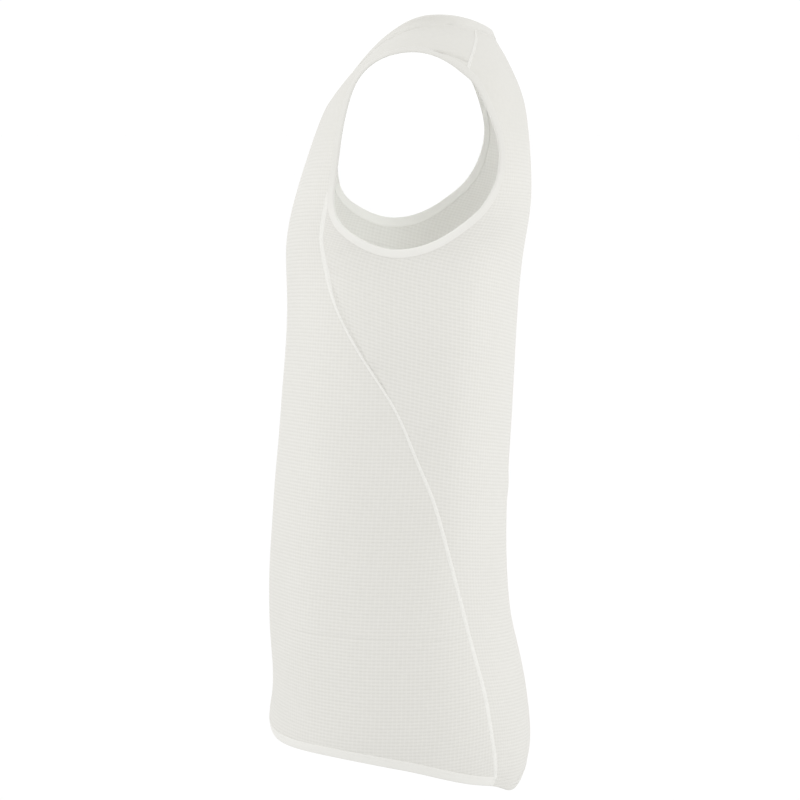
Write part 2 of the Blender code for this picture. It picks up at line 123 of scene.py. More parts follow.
# The side seam seen from the wearer's left, from the armhole's band down to the hem.
SIDE_SEAM = (
    (-.0643, -.1633), (-.0678, -.1869), (-.0654, -.2084), (-.059, -.2366), (-.0471, -.2641),
    (-.0311, -.2912), (-.013, -.319), (.001, -.346), (.014, -.379), (.027, -.412), (.039, -.456),
    (.0541, -.5154), (.0686, -.5713), (.078, -.618), (.0825, -.648), (.0822, -.6728)
)
SHOULDER_SEAM_AT_NECK_Y = 0.0620

PANEL_WALL = 1.2 * MM
NECK_BAND = 10.0 * MM
ARMHOLE_BAND = 7.5 * MM
HEM_BAND = 9.5 * MM
TUCKED_UNDER = 0.9 * MM

# The rib knit: horizontal ribs with narrow grooves, crossed by wales.
RIB = 3.15 * MM
CLEAR_OF_ENDS = 0.1 * RIB
CLEAR_OF_CROSSING = 0.2 * RIB
RIB_DEPTH = 0.16 * MM
GROOVE_HALF_WIDTH = 0.25
RIB_ROWS = (0.0, GROOVE_HALF_WIDTH, 1.0 - GROOVE_HALF_WIDTH)
WALE = 3.8 * MM

# How far a rib has climbed at every CLIMB_STEP from the middle of its panel, from one step on the
# other side of the middle. On the upper back it climbs less: the shares go with the heights.
CLIMB_STEP = 0.05
FRONT_CLIMB = (.004, 0.0, .004, .0105, .0145, .016, .0165, .0165, .0165)
BACK_CLIMB = (.0055, 0.0, .0055, .0158, .0265, .038, .0512, .0652, .0795)
BACK_CLIMB_HEIGHTS = (-.7, -.2, -.15, 0.0)
BACK_CLIMB_SHARES = (1.0, 1.0, 0.5, 0.5)

# The ribs end below the straps' tops: at the upper height they have no depth.
RIBS_FADE = (-0.150, -0.070)
FRONT_STRAP_FROM = -0.080
BACK_STRAP_FROM = -0.062

# The panels' columns, as shares of a row's way where they aren't even, and their rows.
FRONT_MIDDLE_COLUMNS = (0.0, .013, .027, .046)
FRONT_COLUMNS = 21
FRONT_EDGE_COLUMNS = (.905, .925, .942, .956, .967, .976, .984, .992, 1.0)
BACK_SIDE_COLUMNS = 12
SEAM_COLUMNS = (0.0, .0045, .008, .0104, .013, .018, .026, .038)
BACK_COLUMNS = 22
STRAP_ROWS = 26
FRONT_STRAP_MIDDLE_ROWS = 3
BACK_STRAP_MIDDLE_ROWS = 6
STRAP_SETTLES = 0.4


def between(start, end, share):
    return start + (end - start) * share


def lengths(ways):
    return np.linalg.norm(ways, axis=-1)


def smooth_share(value, start, end):
    share = np.clip((np.asarray(value, float) - start) / (end - start), 0.0, 1.0)
    return share * share * (3.0 - 2.0 * share)


class Spline:
    """A smooth curve through the rows of a table. Place 0 is its first row, place 1 the next."""

    def __init__(self, rows):
        self.rows = np.array(rows, float)
        count = len(self.rows)
        matrix = np.zeros((count, count))
        bends = np.zeros_like(self.rows)
        matrix[0, 0] = 1.0
        matrix[-1, -1] = 1.0
        for row in range(1, count - 1):
            matrix[row, row - 1:row + 2] = (1.0, 4.0, 1.0)
            bends[row] = 6.0 * (self.rows[row + 1] - 2.0 * self.rows[row] + self.rows[row - 1])
        self.bends = np.linalg.solve(matrix, bends)

    def at(self, place):
        place = np.clip(np.asarray(place, float), 0.0, len(self.rows) - 1.0)
        row = np.minimum(place.astype(int), len(self.rows) - 2)
        after = (place - row)[..., None]
        before = 1.0 - after
        straight = self.rows[row] * before + self.rows[row + 1] * after
        bend_before = (before ** 3 - before) * self.bends[row] / 6.0
        bend_after = (after ** 3 - after) * self.bends[row + 1] / 6.0
        return straight + bend_before + bend_after


SECTION_SPLINE = Spline(list(SECTIONS.values()))


def ridge(seen, crest, height, half_width, taper):
    """The height of a soft ridge along a line, for points in the same view. Its ends taper."""
    crest = np.array(crest, float)
    nearest = np.full(seen.shape[:-1], np.inf)
    place = np.zeros(seen.shape[:-1])
    for stretch, (start, end) in enumerate(zip(crest[:-1], crest[1:])):
        along = (seen - start) @ (end - start) / np.dot(end - start, end - start)
        along = np.clip(along, 0.0, 1.0)
        apart = lengths(seen - between(start, end, along[..., None]))
        place = np.where(apart < nearest, (stretch + along) / (len(crest) - 1), place)
        nearest = np.minimum(apart, nearest)
    ends = smooth_share(np.minimum(place, 1.0 - place), 0.0, taper)
    return height * ends * np.exp(-(nearest / half_width) ** 2)


def form(turn, level):
    """Points of the form's left half."""
    turn, level = np.broadcast_arrays(np.asarray(turn, float), np.asarray(level, float))
    (front_z, side_z, back_z, slant, tail_drop, front_y, side_y, back_y, half_width,
     power) = np.moveaxis(SECTION_SPLINE.at(level), -1, 0)
    forward = np.abs(np.cos(turn))
    outward = np.abs(np.sin(turn))
    size = (forward ** power + outward ** power) ** (-1.0 / power)
    reach = forward * size
    width = outward * size
    in_front = np.cos(turn) > 0.0
    end_y = np.where(in_front, front_y, back_y)
    end_z = np.where(in_front, front_z, back_z)
    tilt = np.where(in_front, -reach, reach) * (1.0 - reach ** 2)
    corner = np.exp(-((reach - TAIL_CORNER_REACH) / TAIL_CORNER_SPREAD) ** 2)
    drop = np.where(in_front, 0.0, tail_drop * corner)
    y = side_y + (end_y - side_y) * reach
    z = side_z + (end_z - side_z) * reach ** 2
    z = z + slant * tilt - drop
    fold = ridge(np.stack([y, z], -1), FOLD_CREST, FOLD_HEIGHT, FOLD_HALF_WIDTH, FOLD_TAPER)
    return np.stack([half_width * width + fold * width ** 2, y, z], -1)


def form_slopes(turn, level):
    """How the form's points move with the turn and with the level."""
    low = np.clip(level - SLOPE_STEP, 0.0, NECK_LEVEL)
    high = np.clip(level + SLOPE_STEP, 0.0, NECK_LEVEL)
    around = form(turn + SLOPE_STEP, level) - form(turn - SLOPE_STEP, level)
    up = form(turn, high) - form(turn, low)
    return around / (2.0 * SLOPE_STEP), up / (high - low)[..., None]


def form_normals(turn, level):
    """Directions that point straight out of the form."""
    safe_turn = np.clip(turn, 2.0 * SLOPE_STEP, math.pi - 2.0 * SLOPE_STEP)
    normals = np.cross(*form_slopes(safe_turn, level))
    normals[..., 0] = np.where(np.sin(turn) < TINY, 0.0, normals[..., 0])
    return normals / lengths(normals)[..., None]


def solve_step(turn, level, slopes, miss):
    """The turn and level moved so that the points move by what they miss."""
    slopes = np.stack(slopes, -1)
    transposed = np.swapaxes(slopes, -1, -2)
    steps = np.linalg.solve(transposed @ slopes, transposed @ miss[..., None])[..., 0]
    steps = np.clip(steps, -LONGEST_STEP, LONGEST_STEP)
    return (np.clip(turn + steps[..., 0], 0.0, math.pi),
            np.clip(level + steps[..., 1], 0.0, NECK_LEVEL))


def place_by_side_view(seen):
    """The line on the form that is seen at (y, z) from the left."""
    turns, levels = np.meshgrid(np.linspace(*PLACING_TURNS),
                                np.linspace(0.0, NECK_LEVEL, PLACING_LEVELS))
    apart = lengths(form(turns, levels)[None, ..., 1:] - seen[:, None, None])
    nearest = apart.reshape(len(seen), -1).argmin(1)
    turn, level = turns.ravel()[nearest], levels.ravel()[nearest]
    for _ in range(PLACING_ROUNDS):
        slopes = [slope[..., 1:] for slope in form_slopes(turn, level)]
        turn, level = solve_step(turn, level, slopes, seen - form(turn, level)[..., 1:])
    return np.array((turn, level))


def shift_line(line, distance, closed=False):
    """A line on the form moved sideways over the form, to the right of its own direction."""
    turn, level = line
    points = form(turn, level)
    if closed:
        ahead = np.roll(points, -1, axis=0) - np.roll(points, 1, axis=0)
    else:
        ahead = np.gradient(points, axis=0)
    sideways = np.cross(ahead, form_normals(turn, level))
    sideways /= lengths(sideways)[..., None]
    wanted = points + sideways * np.asarray(distance)[..., None]
    for _ in range(SHIFTING_ROUNDS):
        turn, level = solve_step(turn, level, form_slopes(turn, level),
                                 wanted - form(turn, level))
    return np.array((turn, level))


def lines_beside(line, distances):
    """The turns and the levels of lines at distances beside a line, one row a line."""
    return np.moveaxis(np.array([shift_line(line, distance) for distance in distances]), 1, 0)


def level_in_from(edge_level, turn, distance):
    """The level that lies a distance over the form from the edge at a level, at given turns."""
    if not distance:
        return np.full_like(turn, edge_level)
    edge = form(turn, edge_level)
    level = np.full_like(turn, edge_level + (-FIRST_GUESS if edge_level else FIRST_GUESS))
    for _ in range(LEVEL_ROUNDS):
        gone = lengths(form(turn, level) - edge)
        level = edge_level + (level - edge_level) * distance / gone
    return level


def level_where(grain, wanted, turn):
    """The levels at which given turns cross the wanted ribs."""
    low, high = np.zeros(turn.shape), np.full(turn.shape, float(NECK_LEVEL))
    for _ in range(HALVINGS):
        middle = (low + high) / 2.0
        below = grain(turn, middle)[1] < wanted
        low, high = np.where(below, middle, low), np.where(below, high, middle)
    return (low + high) / 2.0


def running_total(steps):
    return np.concatenate([[0.0], np.cumsum(steps)])


def line_distances(line):
    """How far along a line on the form its points are."""
    return running_total(lengths(np.diff(form(*line), axis=0)))


def read_line(line, measure, wanted):
    """The line's turns and levels where a measure that grows along it has the wanted values."""
    return np.array([np.interp(wanted, measure, values) for values in line])


def resample(line, count):
    last = line.shape[1] - 1
    return read_line(line, np.arange(last + 1), np.linspace(0, last, count))


def girth_table():
    """Distances round the form from the middle of the front, one row a level."""
    turns = np.linspace(0.0, math.pi, GIRTH_TURNS)
    levels = np.linspace(0.0, NECK_LEVEL, GIRTH_LEVELS)
    steps = lengths(np.diff(form(turns, levels[:, None]), axis=1))
    return np.concatenate([np.zeros((GIRTH_LEVELS, 1)), np.cumsum(steps, 1)], 1)


def girth(table, turn, level):
    """The distances round the form at turns and levels."""
    across = np.clip(turn / math.pi, 0.0, 1.0) * (GIRTH_TURNS - 1)
    up = np.clip(level / NECK_LEVEL, 0.0, 1.0) * (GIRTH_LEVELS - 1)
    column = np.minimum(across.astype(int), GIRTH_TURNS - 2)
    row = np.minimum(up.astype(int), GIRTH_LEVELS - 2)
    lower, upper = (between(table[at, column], table[at, column + 1], across - column)
                    for at in (row, row + 1))
    return between(lower, upper, up - row)


FROM_FRONT = girth_table()
FROM_BACK = FROM_FRONT[:, -1:] - FROM_FRONT
FRONT_CLIMB_SPLINE = Spline(np.array(FRONT_CLIMB)[:, None])
BACK_CLIMB_SPLINE = Spline(np.array(BACK_CLIMB)[:, None])


def front_grain(turn, level):
    """Where a point of the front panel lies on its knit: along a rib and across the ribs."""
    along = girth(FROM_FRONT, turn, level)
    climb = FRONT_CLIMB_SPLINE.at(along / CLIMB_STEP + 1.0)[..., 0]
    return along, form(turn, level)[..., 2] - climb


def back_grain(turn, level):
    """Where a point of the back panel lies on its knit, whose ribs climb towards the sides."""
    along = girth(FROM_BACK, turn, level)
    height = form(turn, level)[..., 2]
    climb = BACK_CLIMB_SPLINE.at(along / CLIMB_STEP + 1.0)[..., 0]
    return along, height - climb * np.interp(height, BACK_CLIMB_HEIGHTS, BACK_CLIMB_SHARES)


class Cut:
    """The seam lines and edges of the left half, each a line on the form."""

    def __init__(self):
        spline = Spline(ARMHOLE[-ARMHOLE_WRAP:] + ARMHOLE + ARMHOLE[:ARMHOLE_WRAP])
        self.stations = np.arange(0, len(ARMHOLE), 1.0 / STATIONS_PER_ROW)
        self.armhole = place_by_side_view(spline.at(self.stations + ARMHOLE_WRAP))
        self.under_binding = self.armhole_line(ARMHOLE_BAND - TUCKED_UNDER)
        seam = np.column_stack([self.edge_stretch(AT_SIDE_SEAM, AT_SIDE_SEAM),
                                place_by_side_view(np.array(SIDE_SEAM))])
        places = np.linspace(0, seam.shape[1] - 1, SEAM_STATIONS)
        self.side_seam = Spline(seam.T).at(places)[::-1].T.copy()
        turns = np.linspace(0.0, math.pi, EDGE_STATIONS)
        neck_y = form(turns, NECK_LEVEL)[:, 1]
        self.shoulder_turn = float(np.interp(SHOULDER_SEAM_AT_NECK_Y, neck_y, turns))
        self.hem_line = turns, level_in_from(0.0, turns, HEM_BAND - TUCKED_UNDER)

    def armhole_line(self, distance):
        """The armhole's line at a distance in from its edge."""
        return shift_line(self.armhole, distance, closed=True) if distance else self.armhole

    def edge_stretch(self, first, last):
        """The panels' armhole edge from one row of ARMHOLE to another, in that order."""
        first, last = first * STATIONS_PER_ROW, last * STATIONS_PER_ROW
        step = 1 if last >= first else -1
        return self.under_binding[:, np.arange(first, last + step, step) % len(self.stations)]

    def hem_edge(self, turn):
        return np.interp(turn, *self.hem_line)


def where_on(line, grain, wanted):
    """Where a line crosses the wanted ribs."""
    return read_line(line, grain(*line)[1], wanted)


def rib_rows(first, last):
    """Heights across the ribs of a block's rows: three to a rib, with both ends of the block."""
    ribs = np.arange(math.floor(first / RIB), math.ceil(last / RIB) + 1)
    rows = (ribs[:, None] + np.array(RIB_ROWS)).ravel() * RIB
    rows = rows[(rows > first + CLEAR_OF_ENDS) & (rows < last - CLEAR_OF_ENDS)]
    return np.concatenate([[first], rows, [last]])


def ribbed_block(near, far, grain, first, last, shares):
    """Rows of a panel that each follow one rib from a line near to a line far."""
    rows = rib_rows(first, last)
    near, far = where_on(near, grain, rows), where_on(far, grain, rows)
    turns = between(near[0][:, None], far[0][:, None], shares)
    levels = level_where(grain, rows[:, None], turns)
    levels[:, 0], levels[:, -1] = near[1], far[1]
    return np.array((turns, levels))


def trim_at_hem(block, cut):
    """The rows below the hem's seam line gathered onto it, column by column."""
    for turns, levels in np.moveaxis(block, 2, 0):
        first = int(np.argmax(levels > cut.hem_edge(turns)))
        turns[:first] = turns[first]
        levels[:first] = cut.hem_edge(turns[first])


def strap_block(cut, lowest_row, middle_turn, middle_rows, outer, shares):
    """Rows over a strap, from a given row to the shoulder seam."""
    turns = np.linspace(middle_turn, cut.shoulder_turn, STRAP_ROWS - middle_rows + 1)
    neck_levels = level_in_from(NECK_LEVEL, turns, NECK_BAND - TUCKED_UNDER)
    middle_levels = np.linspace(lowest_row[1, 0], neck_levels[0], middle_rows + 1)[:-1]
    # The inner ends go up the middle of the body, and then along the neck's edge.
    inner = np.array((np.append(np.full(middle_rows, middle_turn), turns),
                      np.append(middle_levels, neck_levels)))
    outer = resample(outer, STRAP_ROWS + 1)
    block = between(inner[..., None], outer[..., None], shares)
    settled = smooth_share(np.linspace(0.0, 1.0, STRAP_ROWS + 1), 0.0, STRAP_SETTLES)[:, None]
    return block + (lowest_row - block[:, 0])[:, None] * (1.0 - settled)


def stack(*blocks):
    """Blocks of rows, each of which starts on the last row of the one before, as one."""
    return np.concatenate([blocks[0]] + [block[:, 1:] for block in blocks[1:]], 1)


def middle_line(turn):
    levels = np.linspace(0.0, NECK_LEVEL, MIDDLE_STATIONS)
    return np.array((np.full_like(levels, turn), levels))


def from_crossing(line, grain, wanted):
    """An armhole edge from where it crosses a rib on."""
    start = int(np.argmax(grain(*line)[1] > wanted + CLEAR_OF_CROSSING))
    return np.column_stack([where_on(line[:, :start + 1], grain, wanted), line[:, start:]])


def front_panel_blocks(cut):
    wide = np.linspace(FRONT_MIDDLE_COLUMNS[-1], FRONT_EDGE_COLUMNS[0], FRONT_COLUMNS + 1)
    shares = np.concatenate([FRONT_MIDDLE_COLUMNS[:-1], wide, FRONT_EDGE_COLUMNS[1:]])
    middle = middle_line(0.0)
    seam = cut.side_seam
    seam_across = front_grain(*seam)[1]
    hem_across = front_grain(*cut.hem_line)[1][:EDGE_STATIONS // 2]
    lowest = min(hem_across.min(), seam_across[0])
    junction = seam_across[-1]
    body = ribbed_block(middle, seam, front_grain, lowest, junction, shares)
    trim_at_hem(body, cut)

    edge = cut.edge_stretch(AT_SIDE_SEAM, AT_FRONT_STRAP)
    chest = ribbed_block(middle, edge, front_grain, junction, FRONT_STRAP_FROM, shares)
    chest[:, 0] = body[:, -1]
    outer = from_crossing(cut.edge_stretch(AT_SIDE_SEAM, AT_SHOULDER_SEAM), front_grain,
                          FRONT_STRAP_FROM)
    strap = strap_block(cut, chest[:, -1], 0.0, FRONT_STRAP_MIDDLE_ROWS, outer, shares)
    return [stack(body, chest, strap)]


def back_panel_blocks(cut):
    seam = cut.side_seam
    middle = middle_line(math.pi)
    seam_across = back_grain(*seam)[1]
    edge = cut.edge_stretch(AT_SIDE_SEAM, len(ARMHOLE))
    edge_across = back_grain(*edge)[1]
    split = int(np.argmin(edge_across[:-1]))
    split_across = edge_across[split]
    seam_turn = where_on(seam, back_grain, split_across)[0]
    division = (edge[0, split] - seam_turn) / (math.pi - seam_turn)
    rest = np.linspace(SEAM_COLUMNS[-1], division, BACK_SIDE_COLUMNS + 2 - len(SEAM_COLUMNS))
    side_shares = np.concatenate([SEAM_COLUMNS, rest[1:]])
    back_shares = np.linspace(division, 1.0, BACK_COLUMNS + 1)
    strap_shares = np.linspace(0.0, 1.0, BACK_COLUMNS + 1)
    hem_turns = np.linspace(seam[0, 0], math.pi, EDGE_STATIONS // 2)
    lowest = min(back_grain(hem_turns, cut.hem_edge(hem_turns))[1].min(), seam_across[0])
    body = ribbed_block(seam, middle, back_grain, lowest, split_across,
                        np.concatenate([side_shares, back_shares[1:]]))
    body[:, -1, BACK_SIDE_COLUMNS] = edge[:, split]
    trim_at_hem(body, cut)

    front_edge = edge[:, split::-1]
    tip = min(seam_across[-1], back_grain(*front_edge)[1][-1])
    horn = ribbed_block(seam, front_edge, back_grain, split_across, tip, side_shares / division)
    horn[:, 0] = body[:, -1, :BACK_SIDE_COLUMNS + 1]

    back_edge = edge[:, split:]
    heights = form(*back_edge)[:, 2]
    strap_from = back_grain(*read_line(back_edge, heights, BACK_STRAP_FROM))[1]
    upper = ribbed_block(back_edge, middle, back_grain, split_across, strap_from, strap_shares)
    upper[:, 0] = body[:, -1, BACK_SIDE_COLUMNS:]
    outer = from_crossing(cut.edge_stretch(AT_BACK_STRAP, len(ARMHOLE)), back_grain, strap_from)
    strap = strap_block(cut, upper[:, -1, ::-1], math.pi, BACK_STRAP_MIDDLE_ROWS, outer,
                        strap_shares)
    return [body, horn, stack(upper, strap[..., ::-1])]


# Loose creases of the worn cloth. Those of a side are drawn as (y, z), and those of the front and
# the back as (x, z). Each has its height and half width in millimetres, the share of its length
# over which it tapers at both ends, and its line.
LEFT_CREASES = {
    "front corner": (1.3, 15.0, .25, (-.0663, -.1972), (-.0676, -.2737), (-.0715, -.3428),
        (-.0763, -.4128), (-.0786, -.4838), (-.08, -.5558), (-.0813, -.625)),
    "front hollow": (-.9, 13.0, .35, (-.06, -.43), (-.0585, -.5), (-.059, -.57), (-.06, -.635)),
    "back corner": (1.2, 14.0, .3, (.066, -.175), (.0621, -.1963), (.0575, -.2724),
        (.0512, -.3411), (.047, -.3933), (.047, -.446), (.053, -.5)),
    "packing line": (-.42, 1.4, .15, (-.1021, -.5366), (-.0603, -.5322), (-.0016, -.5331),
        (.0537, -.5347)),
    "seam ditch": (-1.5, 1.4, .2, (-.0652, -.206), (-.0601, -.2263), (-.0475, -.2559),
        (-.0305, -.2898), (-.0168, -.3103), (-.0075, -.327)),
    "upper pucker": (-1.1, 1.8, .3, (-.063, -.211), (-.06, -.216), (-.0545, -.2225)),
    "lower pucker": (-1.0, 1.7, .3, (-.0265, -.288), (-.0225, -.296), (-.017, -.307)),
    "short pucker": (-.5, 1.3, .3, (-.0202, -.2906), (-.0235, -.3019)),
    "neck crease": (-1.6, .45, .25, (-.0085, -.0213), (-.0051, -.0194), (-.0002, -.017),
        (.0058, -.0147), (.0117, -.013), (.0202, -.0118), (.03, -.0117)),
    "neck tuck": (-.9, 1.3, .35, (.038, -.0078), (.048, -.0097)),
    "strap crease": (-2.4, .75, .25, (.02, -.0305), (.03, -.0322), (.0413, -.035),
        (.0514, -.0387), (.055, -.041)),
}
RIGHT_CREASES = {
    "front corner": (1.1, 16.0, .3, (-.064, -.205), (-.069, -.29), (-.076, -.37), (-.0745, -.46),
        (-.08, -.56)),
    "front hollow": (-1.1, 14.0, .35, (-.052, -.47), (-.057, -.55), (-.056, -.63)),
    "back corner": (1.4, 15.0, .3, (.064, -.18), (.06, -.26), (.053, -.34), (.05, -.43),
        (.058, -.52)),
    "packing line": (-.2, 1.8, .2, (-.09, -.534), (-.01, -.5325), (.06, -.534)),
    "seam ditch": (-.7, 1.5, .25, (-.064, -.22), (-.052, -.25), (-.036, -.283), (-.02, -.308)),
    "upper pucker": (-.6, 1.6, .3, (-.059, -.233), (-.056, -.239), (-.05, -.244)),
    "lower pucker": (-.6, 1.5, .3, (-.013, -.318), (-.008, -.323), (-.003, -.33)),
    "neck crease": (-1.0, 1.5, .3, (-.004, -.02), (.005, -.0147), (.015, -.0122), (.023, -.0126)),
    "inside join": (.5, 1.3, .2, (.0026, -.195), (.0018, -.204), (.0004, -.218)),
}
FRONT_CREASES = {
    "chest fall left": (1.6, 17.0, .35, (.072, -.175), (.064, -.25), (.06, -.33), (.07, -.41)),
    "chest fall right": (1.3, 19.0, .35, (-.064, -.185), (-.06, -.27), (-.068, -.35)),
    "waist hollow": (-1.5, 22.0, .35, (.015, -.33), (.005, -.42), (.012, -.52)),
    "skirt left": (1.8, 18.0, .4, (.05, -.44), (.059, -.53), (.062, -.63)),
    "skirt right": (1.5, 20.0, .4, (-.062, -.47), (-.056, -.55), (-.06, -.635)),
    "armhole pull left": (.9, 9.0, .4, (.115, -.15), (.09, -.162), (.06, -.164)),
    "armhole pull right": (.8, 9.0, .4, (-.118, -.156), (-.09, -.17), (-.062, -.175)),
}
BACK_CREASES = {
    "blade left": (1.7, 20.0, .35, (.085, -.135), (.076, -.22), (.064, -.31)),
    "blade right": (1.5, 22.0, .35, (-.08, -.145), (-.074, -.23), (-.06, -.325)),
    "spine hollow": (-1.6, 24.0, .35, (.003, -.17), (-.003, -.28), (.002, -.4)),
    "waist pull left": (1.2, 11.0, .4, (.09, -.405), (.055, -.422), (.02, -.418)),
    "waist pull right": (1.0, 11.0, .4, (-.095, -.395), (-.06, -.415), (-.028, -.416)),
    "tail left": (1.7, 18.0, .4, (.052, -.47), (.06, -.56), (.056, -.66)),
    "tail right": (1.9, 20.0, .4, (-.045, -.455), (-.056, -.55), (-.06, -.665)),
}

# The right armhole is worn a little wider than the left. Each pull has its middle as (y, z), its
# reach, and how far it takes the cloth round the body and up it.
RIGHT_PULLS = {
    "back":         ((0.0740, -0.0950), 0.0300, 0.0070, 0.0),
    "top of back":  ((0.0600, -0.0600), 0.0300, 0.0074, 0.0085),
    "front":        ((-0.0530, -0.1260), 0.0320, -0.0075, 0.0),
    "top of front": ((-0.0460, -0.0800), 0.0250, -0.0035, 0.0),
}

# How far out of the middle the pulls, and the creases of a side or a face, start and are whole.
PULLS_START = (0.03, 0.09)
SIDE_STARTS = (0.025, 0.060)
FACE_STARTS = (0.030, 0.065)


def loose(points):
    """How far the loose creases lift or sink the cloth at points of the worn form."""
    x, y, _ = np.moveaxis(points, -1, 0)
    seen_from_side, seen_from_front = points[..., 1:], points[..., ::2]
    lift = np.zeros(points.shape[:-1])
    for creases, seen, share in (
            (LEFT_CREASES, seen_from_side, smooth_share(x, *SIDE_STARTS)),
            (RIGHT_CREASES, seen_from_side, smooth_share(-x, *SIDE_STARTS)),
            (FRONT_CREASES, seen_from_front, smooth_share(-y, *FACE_STARTS)),
            (BACK_CREASES, seen_from_front, smooth_share(y, *FACE_STARTS))):
        for height, half_width, taper, *line in creases.values():
            lift += share * ridge(seen, line, height * MM, half_width * MM, taper)
    return lift


def rib_relief(turns, levels, across):
    """The depth of the knit's grooves at points that lie a way across the ribs."""
    apart = np.abs((across / RIB + 0.5) % 1.0 - 0.5)
    depth = RIB_DEPTH * (1.0 - smooth_share(form(turns, levels)[..., 2], *RIBS_FADE))
    return -depth * np.clip(1.0 - apart / GROOVE_HALF_WIDTH, 0.0, 1.0)


def pulled(turns, levels):
    """Where the right side's cloth is worn round its armhole, a little off the left side's."""
    x, y, z = np.moveaxis(form(turns, levels), -1, 0)
    along_turn, along_level = form_slopes(turns, levels)
    turn_length = np.maximum(lengths(along_turn), TINY)
    level_length = lengths(along_level)
    outer = smooth_share(x, *PULLS_START)
    for middle, reach, by_turn, by_level in RIGHT_PULLS.values():
        apart = np.hypot(y - middle[0], z - middle[1]) / reach
        share = np.exp(-apart ** 2) * outer
        turns = turns + by_turn * share / turn_length
        levels = levels + by_level * share / level_length
    return turns, np.minimum(levels, NECK_LEVEL)


class Layer:
    """A grid of points on the form that stand out from it, with their places on the knit."""

    def __init__(self, turns, levels, *values):
        self.turns, self.levels = np.broadcast_arrays(turns, levels)
        self.stand, self.along, self.across = (np.broadcast_to(value, self.turns.shape)
                                               for value in values)

    def on_side(self, side):
        """The layer's points, outward ways and places along the knit on one side of the top."""
        place = pulled(self.turns, self.levels) if side == RIGHT else (self.turns, self.levels)
        mirror = np.array([side, 1.0, 1.0])
        points, normals = form(*place) * mirror, form_normals(*place) * mirror
        points = points + normals * (self.stand + loose(points))[..., None]
        return points.reshape(-1, 3), normals.reshape(-1, 3), self.along.ravel() * side


def lay_grids(shell, layers, sides):
    """Grids laid on the form, in a mesh that keeps each point's inward way and knit place."""
    inward = shell.verts.layers.float_vector.new("inward")
    knit = shell.verts.layers.float_vector.new("knit")
    for layer in layers:
        rows, columns = layer.turns.shape
        for side in sides:
            grid = bmesh.ops.create_grid(shell, x_segments=columns - 1, y_segments=rows - 1)
            points, normals, along = layer.on_side(side)
            across = layer.across.ravel()
            for index, vert in enumerate(grid["verts"]):
                vert.co = points[index]
                vert[inward] = -normals[index]
                vert[knit] = (along[index], across[index], 0.0)
    bmesh.ops.remove_doubles(shell, verts=shell.verts[:], dist=WELD)
    bmesh.ops.recalc_face_normals(shell, faces=shell.faces[:])
    return inward, knit


def linked(name, data):
    made = bpy.data.objects.new(name, data)
    bpy.context.collection.objects.link(made)
    return made


def mesh_object(name, shell, finish):
    mesh = bpy.data.meshes.new(name)
    shell.to_mesh(mesh)
    shell.free()
    mesh.materials.append(finish)
    return linked(name, mesh)


def finished_piece(name, shell, knit, finish, stands_for):
    """The mesh as a piece of the top, with its knit places as its UV map."""
    grain = shell.loops.layers.uv.new("grain")
    for face in shell.faces:
        face.smooth = True
        for loop in face.loops:
            loop[grain].uv = loop.vert[knit].xy
    piece = mesh_object(name, shell, finish)
    piece.data.set_sharp_from_angle(angle=SHARP_ANGLE)
    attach(piece, "root")
    if stands_for:
        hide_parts(stands_for)
    return piece


def cloth_wall(name, layers, finish, stands_for):
    """A closed wall of cloth: the laid grids and the same grids a wall's thickness inside."""
    shell = bmesh.new()
    inward, knit = lay_grids(shell, layers, BOTH_SIDES)
    inner = bmesh.ops.extrude_face_region(shell, geom=shell.faces[:], use_keep_orig=True)
    for part in inner["geom"]:
        if isinstance(part, bmesh.types.BMVert):
            part.co += part[inward] * PANEL_WALL
    bmesh.ops.triangulate(shell, faces=shell.faces[:], quad_method="SHORT_EDGE")
    bmesh.ops.recalc_face_normals(shell, faces=shell.faces[:])
    return finished_piece(name, shell, knit, finish, stands_for)


def folded_band(name, layers, sides, finish, stands_for=None):
    """A band folded round an edge: grids whose rows close into a tube, with capped ends."""
    shell = bmesh.new()
    _, knit = lay_grids(shell, layers, sides)
    open_edges = [edge for edge in shell.edges if edge.is_boundary]
    if open_edges:
        bmesh.ops.holes_fill(shell, edges=open_edges)
    bmesh.ops.recalc_face_normals(shell, faces=shell.faces[:])
    return finished_piece(name, shell, knit, finish, stands_for)


# Sections through the bands, once round, in millimetres: how far in from the edge and how far out
# of the form.
ARMHOLE_SECTION = (
    (7.5, -.1), (7.3, .36), (6.6, .5), (5.0, .58), (3.0, .6), (1.4, .52), (.4, .22), (0.0, -.55),
    (.4, -1.32), (1.4, -1.64), (3.0, -1.74), (5.0, -1.76), (7.4, -1.74), (9.0, -1.68),
    (9.4, -1.5), (9.2, -1.28), (7.5, -1.1)
)
NECK_SECTION = (
    (10.0, -.12), (9.7, .14), (8.8, .32), (7.0, .52), (4.5, .62), (2.0, .58), (.6, .3),
    (0.0, -.55), (.6, -1.4), (2.0, -1.72), (4.5, -1.8), (7.0, -1.74), (9.0, -1.64), (9.8, -1.5),
    (10.0, -1.1)
)
HEM_SECTION = (
    (9.5, -.1), (9.3, .26), (8.6, .36), (7.7, .38), (6.9, .38), (6.1, .4), (5.3, .42), (4.5, .44),
    (3.7, .44), (2.9, .44), (2.1, .42), (1.3, .36), (.5, .14), (0.0, -.6), (.5, -1.34),
    (1.3, -1.52), (2.9, -1.58), (5.3, -1.58), (8.6, -1.54), (9.3, -1.46), (9.5, -1.1)
)

# The seams' section, with its first numbers as shares of the seam's half width.
SEAM_SECTION = (
    (-1.0, -.16), (-.88, .12), (-.6, .3), (-.25, .39), (0.0, .42), (.25, .41), (.6, .36),
    (.88, .22), (1.0, -.2), (1.0, -1.1), (.82, -1.44), (0.0, -1.52), (-.82, -1.44), (-1.0, -1.1)
)

